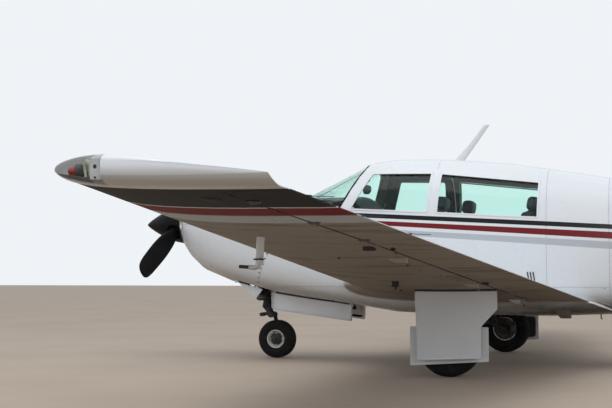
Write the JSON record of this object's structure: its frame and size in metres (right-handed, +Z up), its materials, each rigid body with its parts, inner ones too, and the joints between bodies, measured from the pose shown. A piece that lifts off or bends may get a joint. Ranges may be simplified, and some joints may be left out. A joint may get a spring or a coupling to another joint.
{
  "type": "light aircraft",
  "caption": "Low-wing light aircraft on its wheels, with hinged doors, flaps, ailerons, elevators and rudder, a turning propeller and a steered nose wheel.",
  "frame": {"origin": "on the ground, under the middle of the aircraft's box", "axes": "+X to the port wing tip, -Y to the nose, +Z up"},
  "size_m": [11, 7.5203, 2.5398],
  "materials": {
    "white_paint": "gloss paint",
    "tail_paint": "gloss paint over aluminium sheet",
    "black_paint": "satin black paint",
    "tinted_glass": "green tinted acrylic",
    "clear_lens": "clear acrylic",
    "gear_steel": "painted steel tube, worn",
    "cast_metal": "rough casting",
    "tyre_rubber": "dull black rubber",
    "rim_metal": "cast, lightly dirty",
    "upholstery": "dark vinyl and cloth",
    "panel_plastic": "matt black"
  },
  "bodies": {
    "root": {"cabin_shell": "white_paint", "cabin_floor": "white_paint", "firewall": "gear_steel", "baggage_bulkhead": "panel_plastic", "windshield": "tinted_glass", "window_front_left": "tinted_glass", "window_rear_left": "tinted_glass", "window_rear_right": "tinted_glass", "cowl_upper": "white_paint", "cowl_lower": "white_paint", "engine_block": "cast_metal", "wing_left": "white_paint", "wing_right": "white_paint", "wing_tip_left": "white_paint", "wing_tip_right": "white_paint", "tip_lens_left": "clear_lens", "tip_lens_right": "clear_lens", "tailcone": "tail_paint", "stabilizer_left": "tail_paint", "stabilizer_right": "tail_paint", "fin": "tail_paint", "leg_main_left": "gear_steel", "leg_main_right": "gear_steel", "gear_door_upper_left": "white_paint", "gear_door_upper_right": "white_paint", "gear_door_lower_left": "white_paint", "gear_door_lower_right": "white_paint", "nose_leg": "gear_steel", "nose_gear_door_left": "white_paint", "nose_gear_door_right": "white_paint", "seat_front_left": "upholstery", "seat_front_right": "upholstery", "seat_rear": "upholstery", "instrument_panel": "panel_plastic", "antenna": "white_paint", "pitot_mast": "white_paint", "boarding_step": "gear_steel", "exhaust_pipe": "gear_steel"},
    "propeller": {"propeller": "black_paint", "spinner": "black_paint"},
    "cabin_door": {"cabin_door": "white_paint", "window_front_right": "tinted_glass"},
    "baggage_door": {"baggage_door": "white_paint"},
    "cowl_flap_left": {"cowl_flap_left": "white_paint"},
    "cowl_flap_right": {"cowl_flap_right": "white_paint"},
    "aileron_left": {"aileron_left": "white_paint"},
    "aileron_right": {"aileron_right": "white_paint"},
    "flap_left": {"flap_left": "white_paint"},
    "flap_right": {"flap_right": "white_paint"},
    "elevator_left": {"elevator_left": "tail_paint"},
    "elevator_right": {"elevator_right": "tail_paint"},
    "rudder": {"rudder": "tail_paint"},
    "nose_fork": {"nose_fork": "gear_steel"},
    "nose_wheel": {"tyre_nose": "tyre_rubber", "rim_nose": "rim_metal"},
    "wheel_left": {"tyre_main_left": "tyre_rubber", "rim_main_left": "rim_metal"},
    "wheel_right": {"tyre_main_right": "tyre_rubber", "rim_main_right": "rim_metal"}
  },
  "joints": [
    {"name": "propeller_spin", "type": "hinge", "parent": "root", "child": "propeller", "pos_m": [0, -3.429, 1.196], "axis": [0, 1, 0], "continuous": true},
    {"name": "rudder_swing", "type": "hinge", "parent": "root", "child": "rudder", "pos_m": [0, 3.31657, 1.01], "axis": [0, -0.1612, 0.9869], "range_deg": [-23, 23]},
    {"name": "nose_steer", "type": "hinge", "parent": "root", "child": "nose_fork", "pos_m": [0, -2.55213, 0.45], "axis": [0, -0.2621, 0.965], "range_deg": [-12, 12]},
    {"name": "nose_wheel_spin", "type": "hinge", "parent": "nose_fork", "child": "nose_wheel", "pos_m": [0, -2.475, 0.166], "axis": [1, 0, 0], "continuous": true},
    {"name": "wheel_left_spin", "type": "hinge", "parent": "root", "child": "wheel_left", "pos_m": [1.395, -0.657, 0.222], "axis": [1, 0, 0], "continuous": true},
    {"name": "wheel_right_spin", "type": "hinge", "parent": "root", "child": "wheel_right", "pos_m": [-1.395, -0.657, 0.222], "axis": [1, 0, 0], "continuous": true},
    {"name": "cabin_door_swing", "type": "hinge", "parent": "root", "child": "cabin_door", "pos_m": [-0.548, -1.7125, 0.995], "axis": [0, 0, 1], "range_deg": [0, 70]},
    {"name": "baggage_door_swing", "type": "hinge", "parent": "root", "child": "baggage_door", "pos_m": [-0.46573, 0.003, 1.3775], "axis": [0.1567, 0.9876, 0], "range_deg": [0, 80]},
    {"name": "aileron_left_swing", "type": "hinge", "parent": "root", "child": "aileron_left", "pos_m": [3.8, -0.55117, 0.91537], "axis": [0.9836, -0.1466, 0.1053], "range_deg": [-14, 14]},
    {"name": "aileron_right_swing", "type": "hinge", "parent": "root", "child": "aileron_right", "pos_m": [-3.8, -0.55117, 0.91537], "axis": [0.9836, 0.1466, -0.1053], "range_deg": [-14, 14]},
    {"name": "flap_left_swing", "type": "hinge", "parent": "root", "child": "flap_left", "pos_m": [0.65, -0.15655, 0.58786], "axis": [-0.987, 0.1239, -0.1026], "range_deg": [0, 33]},
    {"name": "flap_right_swing", "type": "hinge", "parent": "root", "child": "flap_right", "pos_m": [-0.65, -0.15655, 0.58786], "axis": [-0.987, -0.1239, 0.1026], "range_deg": [0, 33]},
    {"name": "elevator_left_swing", "type": "hinge", "parent": "root", "child": "elevator_left", "pos_m": [0.215, 3.25352, 1.06513], "axis": [0.991, -0.1336, 0.0029], "range_deg": [-22, 22]},
    {"name": "elevator_right_swing", "type": "hinge", "parent": "root", "child": "elevator_right", "pos_m": [-0.215, 3.25352, 1.06513], "axis": [0.991, 0.1336, -0.0029], "range_deg": [-22, 22]},
    {"name": "cowl_flap_left_swing", "type": "hinge", "parent": "root", "child": "cowl_flap_left", "pos_m": [0.169, -2.747, 0.672], "axis": [1, 0, 0], "range_deg": [0, 22]},
    {"name": "cowl_flap_right_swing", "type": "hinge", "parent": "root", "child": "cowl_flap_right", "pos_m": [-0.169, -2.747, 0.672], "axis": [1, 0, 0], "range_deg": [0, 22]}
  ],
  "couplings": [
    {"joint": "nose_steer", "follows": "rudder_swing", "ratio": -0.5},
    {"joint": "aileron_right_swing", "follows": "aileron_left_swing", "ratio": -1},
    {"joint": "flap_right_swing", "follows": "flap_left_swing", "ratio": 1},
    {"joint": "elevator_right_swing", "follows": "elevator_left_swing", "ratio": 1},
    {"joint": "cowl_flap_right_swing", "follows": "cowl_flap_left_swing", "ratio": 1}
  ]
}
